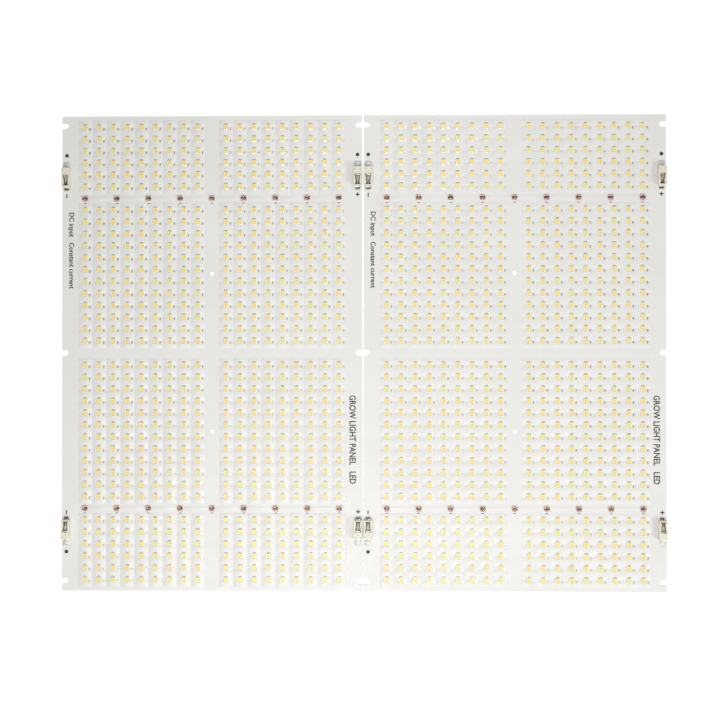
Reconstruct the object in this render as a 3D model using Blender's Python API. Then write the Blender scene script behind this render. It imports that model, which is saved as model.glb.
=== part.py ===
"""Two bare LED grow-light boards, laid side by side with their lamps up.

Each board is an aluminium core with a white circuit layer on it, eight blocks of
white LEDs, two rows of deep-red LEDs and four push-in wire terminals on the long
edges. X runs across both boards, Y along their long edges, Z up out of the lamps.
"""

import math

import bmesh
import bpy
from mathutils import Matrix, Vector

MM = 0.001

# Boards
BOARD_WIDTH = 193.0 * MM
BOARD_LENGTH = 304.8 * MM
CORE_THICKNESS = 1.6 * MM
CIRCUIT_THICKNESS = 0.2 * MM
FILM_GAP = 0.05 * MM  # bond line and solder films between stacked layers
GAP_AT_BOTTOM = 0.5 * MM  # the boards lie loose, so the gap between them tapers
GAP_AT_TOP = 1.1 * MM

# Screw slots in the long edges, and screw holes on the centre line
SLOT_WIDTH = 3.6 * MM
SLOT_DEPTH = 4.2 * MM
SLOT_FROM_MIDDLE = 146.2 * MM
HOLE_RADIUS = 1.5 * MM
HOLE_FROM_MIDDLE = 50.8 * MM
ARC_STEPS = 10
HOLE_STEPS = 28

# White LEDs
LED_SIDE = 3.0 * MM
LED_HEIGHT = 0.65 * MM
COLUMNS_PER_BLOCK = 9
COLUMN_PITCH = 9.08 * MM
BLOCK_GAP = 18.0 * MM  # between the two middle columns
ROW_PITCH = 7.65 * MM
RED_LINE_GAP = 15.0 * MM  # between the white rows above and below a red row
MIDDLE_GAP = 15.5 * MM
BAND_ROWS = (6, 12, 12, 6)
STRING_TRACE = 0.8 * MM

# Red LEDs
RED_COUNT = 9
RED_SIDE = 3.5 * MM
RED_PACKAGE_HEIGHT = 0.8 * MM
RED_LENS_RADIUS = 1.45 * MM
RED_LENS_TOP_RADIUS = 0.85 * MM
RED_HEIGHT = 1.9 * MM
LENS_STEPS = 12
RED_TRACE_WIDTH = 0.8 * MM
RED_TRACE_LOW = 0.05 * MM
RED_TRACE_HIGH = 0.2 * MM

# Wire terminals: local +Y is the end that the wire goes into
TERMINAL_FROM_EDGE = 2.9 * MM
TERMINAL_FROM_MIDDLE = 112.8 * MM
HOUSING_SIZE = Vector((5.2, 12.0, 4.4)) * MM
CHANNEL_WIDTH = 3.4 * MM  # underneath, for the contact strip
CHANNEL_HEIGHT = 0.6 * MM
WINDOW_WIDTH = 3.9 * MM
WINDOW_ENTRY_END = 1.7 * MM
WINDOW_INNER_END = -5.4 * MM
WIRE_HEIGHT = 2.0 * MM
WIRE_BORE_RADIUS = 1.15 * MM
WIRE_MOUTH_RADIUS = 1.75 * MM
WIRE_MOUTH_DEPTH = 1.3 * MM
BORE_STEPS = 16

# Contact: a strip whose ends are the solder tabs, with an arch over the wire
STRIP_WIDTH = 2.8 * MM
SHEET = 0.3 * MM
TAB_ENTRY_END = 9.9 * MM
TAB_INNER_END = -8.4 * MM
ARCH_WIDTH = 3.5 * MM
ARCH_HEIGHT = 3.4 * MM
ARCH_ENTRY_FACE = 1.35 * MM
ARCH_INNER_FACE = 0.95 * MM

# Clamp tongues: two spring leaves whose tips close on the wire
TONGUE_SHEET = 0.3 * MM
TONGUE_LOW = 0.6 * MM
TONGUE_HIGH = 3.1 * MM
TONGUE_ROOT = Vector((1.45, 0.7)) * MM
TONGUE_WAIST = Vector((0.5, -3.9)) * MM
TONGUE_TIP = Vector((0.8, -5.0)) * MM

CUT_OVERRUN = 1.0 * MM

CORE_TOP = CORE_THICKNESS
CIRCUIT_BASE = CORE_TOP + FILM_GAP
CIRCUIT_TOP = CIRCUIT_BASE + CIRCUIT_THICKNESS
SOLDERED_BASE = CIRCUIT_TOP + FILM_GAP


def clear_scene():
    for obj in list(bpy.data.objects):
        bpy.data.objects.remove(obj, do_unlink=True)


def make_material(name, colour, roughness, metallic=0.0):
    material = bpy.data.materials.new(name)
    material.use_nodes = True
    shader = material.node_tree.nodes["Principled BSDF"]
    shader.inputs["Base Color"].default_value = (*colour, 1.0)
    shader.inputs["Roughness"].default_value = roughness
    shader.inputs["Metallic"].default_value = metallic
    return material


def add_object(name, data, material, parent):
    obj = bpy.data.objects.new(name, data)
    bpy.context.scene.collection.objects.link(obj)
    obj.parent = parent
    if material:
        data.materials.append(material)
    return obj


def add_solid(name, bm, material, parent, smooth=False):
    """An object from a bmesh, with its faces turned outwards."""
    bmesh.ops.recalc_face_normals(bm, faces=bm.faces)
    mesh = bpy.data.meshes.new(name)
    bm.to_mesh(mesh)
    bm.free()
    if smooth:
        mesh.shade_smooth()
        mesh.set_sharp_from_angle(angle=math.radians(35))
    return add_object(name, mesh, material, parent)


def add_box(bm, low, high):
    low, high = Vector(low), Vector(high)
    place = Matrix.Translation((low + high) / 2) @ Matrix.Diagonal((*(high - low), 1.0))
    bmesh.ops.create_cube(bm, size=1.0, matrix=place)


def add_frustum(bm, base_radius, top_radius, height, steps, place):
    """A capped cone or cylinder along local Z; place puts its base centre."""
    lift = Matrix.Translation((0, 0, height / 2))
    bmesh.ops.create_cone(
        bm, cap_ends=True, segments=steps, radius1=base_radius, radius2=top_radius,
        depth=height, matrix=place @ lift,
    )


def extrude_outline(bm, points, low, high):
    """A closed solid from a flat outline of (x, y) points, between two heights."""
    face = bm.faces.new([bm.verts.new((x, y, low)) for x, y in points])
    lifted = bmesh.ops.extrude_face_region(bm, geom=[face])["geom"]
    rising = [item for item in lifted if isinstance(item, bmesh.types.BMVert)]
    bmesh.ops.translate(bm, vec=(0, 0, high - low), verts=rising)


def add_cutter(name, bm, parent):
    cutter = add_solid(name, bm, None, parent)
    cutter.hide_render = True
    cutter.display_type = "WIRE"
    return cutter


def add_boolean(obj, operation, other):
    modifier = obj.modifiers.new(f"{operation.lower()}_{other.name}", "BOOLEAN")
    modifier.operation = operation
    modifier.object = other


def arc_points(centre, radius, start, end, steps):
    """Points on an arc about centre, from angle start to angle end in radians."""
    for step in range(steps + 1):
        angle = start + (end - start) * step / steps
        yield Vector((centre[0] + radius * math.cos(angle), centre[1] + radius * math.sin(angle)))


def slot_points(side, height):
    """One U-shaped slot in the long edge at x = side * half width, going up that edge
    on the right (side 1) and down it on the left (side -1)."""
    edge = side * BOARD_WIDTH / 2
    round_end = edge - side * (SLOT_DEPTH - SLOT_WIDTH / 2)
    yield Vector((edge, height - side * SLOT_WIDTH / 2))
    start = -math.pi / 2 if side > 0 else math.pi / 2
    yield from arc_points((round_end, height), SLOT_WIDTH / 2, start, start - math.pi, ARC_STEPS)
    yield Vector((edge, height + side * SLOT_WIDTH / 2))


def board_outline():
    """The board's edge, counter-clockwise, with three slots in each long edge."""
    heights = (-SLOT_FROM_MIDDLE, 0.0, SLOT_FROM_MIDDLE)
    half_width, half_length = BOARD_WIDTH / 2, BOARD_LENGTH / 2
    points = [Vector((-half_width, -half_length)), Vector((half_width, -half_length))]
    for height in heights:
        points += slot_points(1, height)
    points += [Vector((half_width, half_length)), Vector((-half_width, half_length))]
    for height in reversed(heights):
        points += slot_points(-1, height)
    return points


def add_board_sheet(name, low, high, material, parent):
    """A flat sheet of the board's outline with its two screw holes."""
    curve = bpy.data.curves.new(name, "CURVE")
    curve.dimensions = "2D"
    curve.fill_mode = "BOTH"
    curve.extrude = (high - low) / 2
    outlines = [board_outline()]
    for side in (-1, 1):
        centre = (0.0, side * HOLE_FROM_MIDDLE)
        circle = list(arc_points(centre, HOLE_RADIUS, 0.0, 2 * math.pi, HOLE_STEPS))
        outlines.append(circle[:-1])
    for outline in outlines:
        spline = curve.splines.new("POLY")
        spline.points.add(len(outline) - 1)
        for place, point in zip(spline.points, outline):
            place.co = (point.x, point.y, 0.0, 1.0)
        spline.use_cyclic_u = True
    sheet = add_object(name, curve, material, parent)
    sheet.location.z = (low + high) / 2
    return sheet


def band_tops():
    """The height of the first row of each band of white rows, and of each red row."""
    gaps = (RED_LINE_GAP, MIDDLE_GAP, RED_LINE_GAP)
    spans = [(rows - 1) * ROW_PITCH for rows in BAND_ROWS]
    top = (sum(spans) + sum(gaps)) / 2
    tops, reds = [], []
    for index, span in enumerate(spans):
        tops.append(top)
        bottom = top - span
        if index < len(gaps):
            top = bottom - gaps[index]
            if gaps[index] == RED_LINE_GAP:
                reds.append((bottom + top) / 2)
    return tops, reds


def block_start(half):
    """x of the first column of the left (0) or right (1) block."""
    span = (COLUMNS_PER_BLOCK - 1) * COLUMN_PITCH
    return BLOCK_GAP / 2 if half else -BLOCK_GAP / 2 - span


def add_white_block(name, first_x, top_y, rows, material, parent):
    """A comb: one bar per column of LEDs, joined by the copper trace of their strings."""
    reach = LED_SIDE / 2
    low_y = top_y - (rows - 1) * ROW_PITCH - reach
    high_y = top_y + reach
    trace_y = high_y - (LED_SIDE - STRING_TRACE) / 2
    points = []
    for column in range(COLUMNS_PER_BLOCK):
        x = first_x + column * COLUMN_PITCH
        if column:
            points.append((x - reach, trace_y - STRING_TRACE))
        points += [(x - reach, low_y), (x + reach, low_y)]
        if column < COLUMNS_PER_BLOCK - 1:
            points.append((x + reach, trace_y - STRING_TRACE))
    for column in reversed(range(COLUMNS_PER_BLOCK)):
        x = first_x + column * COLUMN_PITCH
        if column < COLUMNS_PER_BLOCK - 1:
            points.append((x + reach, trace_y))
        points += [(x + reach, high_y), (x - reach, high_y)]
        if column:
            points.append((x - reach, trace_y))
    bm = bmesh.new()
    extrude_outline(bm, points, SOLDERED_BASE, SOLDERED_BASE + LED_HEIGHT)
    add_solid(name, bm, material, parent)


def add_red_row(name, y, material, parent):
    """Ceramic packages with lenses, joined by the trace of their series string."""
    reach = -block_start(0)
    places = [-reach + 2 * reach * index / (RED_COUNT - 1) for index in range(RED_COUNT)]
    trace, packages, lenses = bmesh.new(), bmesh.new(), bmesh.new()
    base = SOLDERED_BASE
    add_box(
        trace,
        (-reach, y - RED_TRACE_WIDTH / 2, base + RED_TRACE_LOW),
        (reach, y + RED_TRACE_WIDTH / 2, base + RED_TRACE_HIGH),
    )
    lens_base = base + RED_PACKAGE_HEIGHT / 2
    for x in places:
        add_box(
            packages,
            (x - RED_SIDE / 2, y - RED_SIDE / 2, base),
            (x + RED_SIDE / 2, y + RED_SIDE / 2, base + RED_PACKAGE_HEIGHT),
        )
        add_frustum(
            lenses, RED_LENS_RADIUS, RED_LENS_TOP_RADIUS, base + RED_HEIGHT - lens_base,
            LENS_STEPS, Matrix.Translation((x, y, lens_base)),
        )
    row = add_solid(name, trace, material, parent, smooth=True)
    add_boolean(row, "UNION", add_cutter(f"{name}_packages", packages, parent))
    add_boolean(row, "UNION", add_cutter(f"{name}_lenses", lenses, parent))


def housing_cutters(name, parent):
    """The window, the channel for the strip, and the wire's bore with its funnel mouth."""
    width, length, height = HOUSING_SIZE
    slots = bmesh.new()
    add_box(
        slots,
        (-WINDOW_WIDTH / 2, WINDOW_INNER_END, -CUT_OVERRUN),
        (WINDOW_WIDTH / 2, WINDOW_ENTRY_END, height + CUT_OVERRUN),
    )
    yield add_cutter(f"{name}_window", slots, parent)
    channel = bmesh.new()
    add_box(
        channel,
        (-CHANNEL_WIDTH / 2, -length, -CUT_OVERRUN),
        (CHANNEL_WIDTH / 2, length, CHANNEL_HEIGHT),
    )
    yield add_cutter(f"{name}_channel", channel, parent)
    towards_entry = Matrix.Rotation(-math.pi / 2, 4, "X")
    bore = bmesh.new()
    start = WINDOW_ENTRY_END - CUT_OVERRUN
    add_frustum(
        bore, WIRE_BORE_RADIUS, WIRE_BORE_RADIUS, length / 2 + CUT_OVERRUN - start, BORE_STEPS,
        Matrix.Translation((0, start, WIRE_HEIGHT)) @ towards_entry,
    )
    yield add_cutter(f"{name}_bore", bore, parent)
    mouth = bmesh.new()
    slope = (WIRE_MOUTH_RADIUS - WIRE_BORE_RADIUS) / WIRE_MOUTH_DEPTH
    depth = WIRE_MOUTH_DEPTH + CUT_OVERRUN
    add_frustum(
        mouth, WIRE_BORE_RADIUS, WIRE_BORE_RADIUS + slope * depth, depth, BORE_STEPS,
        Matrix.Translation((0, length / 2 - WIRE_MOUTH_DEPTH, WIRE_HEIGHT)) @ towards_entry,
    )
    yield add_cutter(f"{name}_mouth", mouth, parent)


def add_housing(name, material, parent):
    width, length, height = HOUSING_SIZE
    body = bmesh.new()
    add_box(body, (-width / 2, -length / 2, 0), (width / 2, length / 2, height))
    housing = add_solid(name, body, material, parent)
    for cutter in housing_cutters(name, parent):
        add_boolean(housing, "DIFFERENCE", cutter)


def add_contact(name, material, parent):
    strip, arch, opening = bmesh.new(), bmesh.new(), bmesh.new()
    half_strip, half_arch = STRIP_WIDTH / 2, ARCH_WIDTH / 2
    add_box(strip, (-half_strip, TAB_INNER_END, 0), (half_strip, TAB_ENTRY_END, SHEET))
    add_box(arch, (-half_arch, ARCH_INNER_FACE, 0), (half_arch, ARCH_ENTRY_FACE, ARCH_HEIGHT))
    add_box(
        opening,
        (-half_arch + SHEET, ARCH_INNER_FACE - CUT_OVERRUN, SHEET),
        (half_arch - SHEET, ARCH_ENTRY_FACE + CUT_OVERRUN, ARCH_HEIGHT - SHEET),
    )
    contact = add_solid(name, arch, material, parent)
    add_boolean(contact, "DIFFERENCE", add_cutter(f"{name}_opening", opening, parent))
    add_boolean(contact, "UNION", add_cutter(f"{name}_strip", strip, parent))


def add_tongue(name, side, material, parent):
    """One leaf of the clamp. Its origin is on the axis it bends about, at its root."""
    centre_line = [TONGUE_ROOT, TONGUE_WAIST, TONGUE_TIP]
    half = TONGUE_SHEET / 2
    outer = [(side * (p.x - TONGUE_ROOT.x + half), p.y - TONGUE_ROOT.y) for p in centre_line]
    inner = [(side * (p.x - TONGUE_ROOT.x - half), p.y - TONGUE_ROOT.y) for p in centre_line]
    leaf = bmesh.new()
    extrude_outline(leaf, outer + inner[::-1], TONGUE_LOW, TONGUE_HIGH)
    tongue = add_solid(name, leaf, material, parent)
    tongue.location = (side * TONGUE_ROOT.x, TONGUE_ROOT.y, 0)


def add_terminal(name, x, y, turn, materials, board_frame):
    """A push-in terminal in its own frame, turned so that its wire entry faces outwards."""
    frame = bpy.data.objects.new(f"{name}_frame", None)
    bpy.context.scene.collection.objects.link(frame)
    frame.parent = board_frame
    frame.location = (x, y, SOLDERED_BASE)
    frame.rotation_euler.z = turn
    add_housing(f"{name}_housing", materials["terminal_plastic"], frame)
    add_contact(f"{name}_contact", materials["tinned_brass"], frame)
    add_tongue(f"{name}_clamp_a", -1, materials["spring_brass"], frame)
    add_tongue(f"{name}_clamp_b", 1, materials["spring_brass"], frame)


def add_board(board, frame, materials):
    add_board_sheet(f"{board}_core", 0.0, CORE_TOP, materials["aluminium"], frame)
    add_board_sheet(
        f"{board}_circuit", CIRCUIT_BASE, CIRCUIT_TOP, materials["solder_mask"], frame
    )
    tops, reds = band_tops()
    for band, (top, rows) in enumerate(zip(tops, BAND_ROWS), start=1):
        for half, letter in enumerate("ab"):
            add_white_block(
                f"{board}_whites_{band}{letter}", block_start(half), top, rows,
                materials["phosphor"], frame,
            )
    for name, y in zip(("upper", "lower"), reds):
        add_red_row(f"{board}_reds_{name}", y, materials["red_led"], frame)
    for pole, side in (("minus", -1), ("plus", 1)):
        for end, direction in (("upper", 1), ("lower", -1)):
            add_terminal(
                f"{board}_{end}_{pole}",
                side * (BOARD_WIDTH / 2 - TERMINAL_FROM_EDGE),
                direction * TERMINAL_FROM_MIDDLE,
                0.0 if direction > 0 else math.pi,
                materials, frame,
            )


def board_frames():
    """Empties at the boards' centres, placed so that the pair's box is centred on the
    origin. The right board is turned clockwise about its lower inner corner."""
    skew = math.atan2(GAP_AT_TOP - GAP_AT_BOTTOM, BOARD_LENGTH)
    drop = BOARD_WIDTH * math.sin(skew)
    right_width = BOARD_WIDTH * math.cos(skew) + BOARD_LENGTH * math.sin(skew)
    left_edge = -(BOARD_WIDTH + GAP_AT_BOTTOM + right_width) / 2
    bottom = (drop - BOARD_LENGTH) / 2
    centre = Vector((BOARD_WIDTH / 2, BOARD_LENGTH / 2, 0))
    pivot = Vector((left_edge + BOARD_WIDTH + GAP_AT_BOTTOM, bottom, 0))
    places = {
        "left": (Vector((left_edge, bottom, 0)) + centre, 0.0),
        "right": (pivot + Matrix.Rotation(-skew, 3, "Z") @ centre, -skew),
    }
    for board, (location, turn) in places.items():
        frame = bpy.data.objects.new(f"{board}_board_frame", None)
        bpy.context.scene.collection.objects.link(frame)
        frame.location = location
        frame.rotation_euler.z = turn
        yield board, frame


def main():
    clear_scene()
    materials = {
        "aluminium": make_material("aluminium", (0.74, 0.75, 0.77), 0.35, 1.0),
        "solder_mask": make_material("solder_mask", (0.82, 0.83, 0.80), 0.4),
        "phosphor": make_material("phosphor", (0.90, 0.66, 0.22), 0.45),
        "red_led": make_material("red_led", (0.22, 0.05, 0.05), 0.25),
        "terminal_plastic": make_material("terminal_plastic", (0.84, 0.80, 0.68), 0.45),
        "tinned_brass": make_material("tinned_brass", (0.62, 0.56, 0.44), 0.3, 1.0),
        "spring_brass": make_material("spring_brass", (0.60, 0.44, 0.20), 0.3, 1.0),
    }
    for board, frame in board_frames():
        add_board(board, frame, materials)


main()
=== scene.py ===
"""The looks of two bare LED grow-light boards that lie side by side, lamps up.

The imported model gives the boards, and this script adds what its solids leave out: every
LED package on its own, the copper under the white solder mask, solder, print, detailed
wire terminals, the materials, the floor, the light and the camera. Lengths are in metres.
Places on a board are in its own frame: the origin is the middle of its back, +Y runs up
its long edge, and board_place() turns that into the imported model's frame.
"""

import math
import random

import bmesh
import bpy
import numpy as np
from mathutils import Matrix, Vector


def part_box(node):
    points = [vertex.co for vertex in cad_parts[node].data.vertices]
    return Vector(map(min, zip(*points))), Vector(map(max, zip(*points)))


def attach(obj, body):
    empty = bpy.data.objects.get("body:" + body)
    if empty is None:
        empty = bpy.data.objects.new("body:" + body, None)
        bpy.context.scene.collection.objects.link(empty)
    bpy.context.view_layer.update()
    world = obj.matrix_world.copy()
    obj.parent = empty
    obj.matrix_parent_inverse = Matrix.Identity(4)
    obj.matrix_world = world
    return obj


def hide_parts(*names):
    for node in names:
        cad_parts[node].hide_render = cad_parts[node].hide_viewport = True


MM = 0.001

# Boards, as in part.py
BOARD_WIDTH = 193.0 * MM
BOARD_LENGTH = 304.8 * MM
GAP_AT_BOTTOM = 0.5 * MM
GAP_AT_TOP = 1.1 * MM
CIRCUIT_TOP = 1.85 * MM
SOLDERED_BASE = 1.90 * MM

# White LEDs, as in part.py
COLUMNS_PER_BLOCK = 9
COLUMN_PITCH = 9.08 * MM
BLOCK_GAP = 18.0 * MM
ROW_PITCH = 7.65 * MM
RED_LINE_GAP = 15.0 * MM
MIDDLE_GAP = 15.5 * MM
BAND_ROWS = (6, 12, 12, 6)

# Red LEDs, as in part.py
RED_COUNT = 9

# LED packages in millimetres, as (half width, height, power of the outline's corners)
LED_BODY = ((1.46, 0.0, 9), (1.50, 0.08, 9), (1.49, 0.58, 9), (1.46, 0.65, 8))
LED_WELL = ((1.44, 0.65, 3.6), (1.38, 0.585, 3.2))
LED_SILICONE = ((1.415, 0.617, 3.4), (1.05, 0.607, 2.6), (0.55, 0.599, 2))
LED_SILICONE_LOW = 0.597
LED_CORNER_CUT = 0.93
LED_FILLET = ((1.40, -0.05), (1.74, -0.05), (1.70, -0.01), (1.56, 0.05), (1.51, 0.24), (1.40, 0.24))
LED_FILLET_HALF = 1.05
PHOSPHOR_CORE_REACH = 1.35
PHOSPHOR_CORE_BLEND = 1.0
RED_BODY = ((1.70, 0.0, 12), (1.75, 0.05, 12), (1.75, 0.62, 12), (1.71, 0.68, 12))
# Bow-tie outline of the dark lead frame, in millimetres: narrow in the middle, so the pale pink
# ceramic shows above and below it as a painted highlight
RED_FRAME = ((1.64, 0.98), (0.62, 0.56), (-0.62, 0.56), (-1.64, 0.98))
RED_FRAME_TOP = 0.705
RED_DIE_HALF = 0.52
RED_DIE_TOP = 0.86
RED_DIE_EDGE = 0.03
RED_FLANGE = ((1.50, 0.715, 2), (1.50, 0.78, 2))
RED_DOME_BASE = 0.80
RED_DOME_RADIUS = 1.42
RED_DOME_TOP = 1.90
RED_DOME_STEPS = 8
RED_FILLET = ((1.6, -0.05), (2.05, -0.05), (2.0, 0.0), (1.85, 0.06), (1.78, 0.3), (1.6, 0.3))
RED_FILLET_HALF = 1.3

# How unevenly the LEDs sit, in millimetres and degrees, and their tints: 0 peach, 1 lemon
LED_SHIFT_SPREAD = 0.03
LED_TURN_SPREAD = 0.8
RED_TURN_SPREAD = 1.2
WARM_TINT = 0.32
COOL_TINT = 0.66
TINT_SPREAD = 0.18

# Wire terminals, as in part.py: local +Y is the end that the wire goes into
TERMINAL_FROM_EDGE = 2.9 * MM
TERMINAL_FROM_MIDDLE = 112.8 * MM
HOUSING_SIZE = Vector((5.2, 12.0, 4.4)) * MM
CHANNEL_WIDTH = 3.4 * MM
WINDOW_WIDTH = 3.9 * MM
WINDOW_ENTRY_END = 1.7 * MM
WINDOW_INNER_END = -5.4 * MM
WIRE_HEIGHT = 2.0 * MM
WIRE_BORE_RADIUS = 1.15 * MM
WIRE_MOUTH_RADIUS = 1.75 * MM
WIRE_MOUTH_DEPTH = 1.3 * MM
STRIP_WIDTH = 2.8 * MM
SHEET = 0.3 * MM
TAB_ENTRY_END = 9.9 * MM
TAB_INNER_END = -8.4 * MM
ARCH_WIDTH = 3.5 * MM
ARCH_HEIGHT = 3.4 * MM
ARCH_ENTRY_FACE = 1.35 * MM
ARCH_INNER_FACE = 0.95 * MM
TONGUE_LOW = 0.6 * MM
TONGUE_HIGH = 3.1 * MM
TONGUE_ROOT = Vector((1.45, 0.7)) * MM
TONGUE_WAIST = Vector((0.5, -3.9)) * MM
TONGUE_TIP = Vector((0.8, -5.0)) * MM
TONGUE_HALF_SHEET = 0.15 * MM
TONGUE_SOFT_EDGE = 0.05 * MM
TONGUE_TAPER = 0.35 * MM
TONGUE_LOW_SHARE = 0.3

# What the looks add to the terminals, in each terminal's own frame
WINDOW_FLOOR = 0.58 * MM
STRIP_SLOT_HEIGHT = 0.36 * MM
EDGE_ROUNDING = 0.14 * MM
ROUNDED_EDGE_ANGLE = 40
PIT_PLACE = Vector((1.72, 4.6)) * MM
PIT_RADIUS = 0.42 * MM
PIT_DEPTH = 0.7 * MM
TEST_SLOT_LOW = Vector((-0.9, 2.7)) * MM
TEST_SLOT_HIGH = Vector((0.9, 3.3)) * MM
TEST_SLOT_DEPTH = 0.35 * MM
SIDE_GROOVE_LOW = Vector((-5.0, 1.35)) * MM
SIDE_GROOVE_HIGH = Vector((4.6, 2.25)) * MM
SIDE_GROOVE_DEPTH = 0.3 * MM
# Outline of the rib beside each leaf, in millimetres: it stops the leaf's outward swing
STOP_RIB = (
    (1.98, 0.75), (1.72, 0.75), (1.57, -0.4), (1.42, -1.6), (1.28, -3.2), (1.26, -3.9),
    (1.68, -4.9), (1.72, -5.45), (1.98, -5.45),
)
STOP_RIB_TOP = 4.05 * MM
STOP_RIB_SINK = 0.1 * MM
CUTTER_REACH = 1.0 * MM
# Strip: inset of the outline and height, from the underside up
PLATE_PROFILE = ((0.05 * MM, 0.0), (0, 0.06 * MM), (0, 0.24 * MM), (0.06 * MM, SHEET))
PLATE_CORNER_POWER = 16
BARE_STRIP_END = 7.0 * MM
BARE_STRIP_START = -6.6 * MM
# The inner tab from BARE_STRIP_START to here is coloured near-black, a painted dark reflection of its
# tin
DARK_REFLECTION_END = -7.9 * MM
ARCH_FOOT = 0.1 * MM
ARCH_ROUNDING = 0.5 * MM
ARCH_INNER_ROUNDING = 0.32 * MM
# Solder round a tab: share of its spread, 0 at the tab's edge, and height in millimetres
MOUND_PROFILE = ((1.0, -0.05), (0.9, 0.0), (0.45, 0.12), (0.0, 0.28), (-0.5, 0.35), (-1.1, 0.38))
MOUND_CORNER_POWER = 7
MOUND_END_SHRINK = 0.8
ENTRY_MOUND_OVERRUN = 0.45 * MM
ENTRY_MOUND_SPREAD = 0.6 * MM
# Spread of the solder on the part of the inner tab coloured as a painted dark reflection
DARK_REFLECTION_MOUND_SPREAD = 0.12 * MM
INNER_MOUND_OVERRUN = 0.15 * MM
INNER_MOUND_SPREAD = 0.1 * MM

# Copper under the mask
COPPER_RISE = 0.03 * MM
COPPER_GAP = 0.36 * MM
COPPER_EDGE = 0.07 * MM
COPPER_SINK = 0.01 * MM
COPPER_PAST_ROWS = 0.62 * ROW_PITCH
RED_RUN_HALF_WIDTH = 1.6 * MM
RED_RUN_OVERHANG = 3.6 * MM

# Print
INK_LOW = 0.005 * MM
INK_HIGH = 0.02 * MM
BAR_FROM_LED = 2.24 * MM
BAR_SIZE = Vector((2.1, 0.24)) * MM
RED_BAR_FROM_LED = 3.07 * MM
RED_BAR_SIZE = Vector((1.7, 0.40)) * MM
TEST_PAD_FROM_LED = Vector((2.88, -1.00)) * MM
TEST_PAD_HALF = Vector((0.50, 0.92)) * MM
END_DOT_RADIUS = 1.2 * MM
END_DOT_FROM_MIDDLE = 127.2 * MM
SIGN_FROM_MIDDLE = 101.6 * MM
SIGN_LENGTH = 2.7 * MM
MINUS_SHIFT = -0.4 * MM
SIGN_STROKE = 0.74 * MM
LEFT_LINE = "DC input   Constant current"
LEFT_LINE_PLACE = Vector((-90.9, 66.0)) * MM
LEFT_LINE_LENGTH = 49.0 * MM
RIGHT_LINE = "GROW LIGHT PANEL   LED"
RIGHT_LINE_PLACE = Vector((90.2, -55.5)) * MM
RIGHT_LINE_LENGTH = 56.6 * MM
LETTER_HEIGHT = 4.2 * MM
LETTER_BOLDNESS = 0.024

# Camera: almost straight down. Its turn, in degrees, leans the line of sight to -X and +Y
CAMERA_TARGET = Vector((-2.06, -4.44, 1.85)) * MM
CAMERA_DISTANCE = 800.15 * MM
CAMERA_TURN = Vector((0.73, 1.07, -0.08))
VIEW_WIDTH = 460.8 * MM
SENSOR_WIDTH = 36.0
CLIP_DISTANCES = (0.01, 100.0)

# Floor and light: the floor glows a little, as a light table does
FLOOR_HALF = 40.0
FLOOR_DROP = 0.1 * MM
FLOOR_GLOW = 0.48
WORLD_STRENGTH = 0.385
SOFTBOXES = (
    # name, place, size, power
    ("side", (0.75, -0.50, 0.70), 0.35, 3.7),
    ("front", (-0.05, -0.30, 0.60), 0.35, 2.25),
    ("back", (0.05, 0.30, 0.50), 0.25, 0.65),
)

# How finely round shapes are stepped, and where shading breaks, in degrees
RING_STEPS = 24
FINE_STEPS = 32
DOT_STEPS = 28
PAD_STEPS = 18
PIT_STEPS = 16
LETTER_STEPS = 3
ARCH_BEND_STEPS = 4
TONGUE_STEPS = 8
SHARP_ANGLE = 35
WIDE_SHARP_ANGLE = 40
HOUSING_SHARP_ANGLE = 50

BOARDS = ("left", "right")


# Node materials


def add_node(tree, kind, inputs=None, **settings):
    """A node whose inputs are given by name or number: a socket is linked, a value set."""
    node = tree.nodes.new(kind)
    for name, value in settings.items():
        setattr(node, name, value)
    for key, value in (inputs or {}).items():
        if isinstance(value, bpy.types.NodeSocket):
            tree.links.new(value, node.inputs[key])
        else:
            node.inputs[key].default_value = value
    return node


def new_material(name, **shader_values):
    """A material and its node tree; shader_values go on the shader's own sockets."""
    material = bpy.data.materials.new(name)
    material.use_nodes = True
    tree = material.node_tree
    shader = tree.nodes["Principled BSDF"]
    for key, value in shader_values.items():
        shader.inputs[key.replace("_", " ").title().replace("Ior", "IOR")].default_value = value
    return material, tree, shader


def object_point(tree):
    return add_node(tree, "ShaderNodeTexCoord").outputs["Object"]


def stretched(tree, point, scale, turn=0.0):
    mapping = add_node(tree, "ShaderNodeMapping", {"Vector": point, "Scale": scale})
    mapping.inputs["Rotation"].default_value = (0.0, 0.0, turn)
    return mapping.outputs[0]


def noise(tree, point, scale, detail=2.0, roughness=0.5):
    return add_node(
        tree, "ShaderNodeTexNoise",
        {"Vector": point, "Scale": scale, "Detail": detail, "Roughness": roughness},
    ).outputs[0]


def cells(tree, point, scale):
    """Distance to the nearest of many scattered points, for specks and grains."""
    return add_node(
        tree, "ShaderNodeTexVoronoi", {"Vector": point, "Scale": scale}
    ).outputs["Distance"]


def remap(tree, value, low, high, to_low, to_high):
    return add_node(
        tree, "ShaderNodeMapRange", {0: value, 1: low, 2: high, 3: to_low, 4: to_high}
    ).outputs[0]


def maths(tree, operation, first, second=0.0):
    return add_node(
        tree, "ShaderNodeMath", {0: first, 1: second}, operation=operation
    ).outputs[0]


def mixed(tree, amount, first, second):
    """Two colours mixed by an amount; each is a colour or a socket."""
    first, second = (
        (*colour, 1.0) if isinstance(colour, tuple) else colour for colour in (first, second)
    )
    return add_node(
        tree, "ShaderNodeMix", {0: amount, 6: first, 7: second}, data_type="RGBA"
    ).outputs[2]


def bumped(tree, height, distance, strength):
    inputs = {"Height": height, "Distance": distance, "Strength": strength}
    return add_node(tree, "ShaderNodeBump", inputs).outputs[0]


def wire(tree, shader, **sockets):
    for key, socket in sockets.items():
        tree.links.new(socket, shader.inputs[key.replace("_", " ")])


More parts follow.
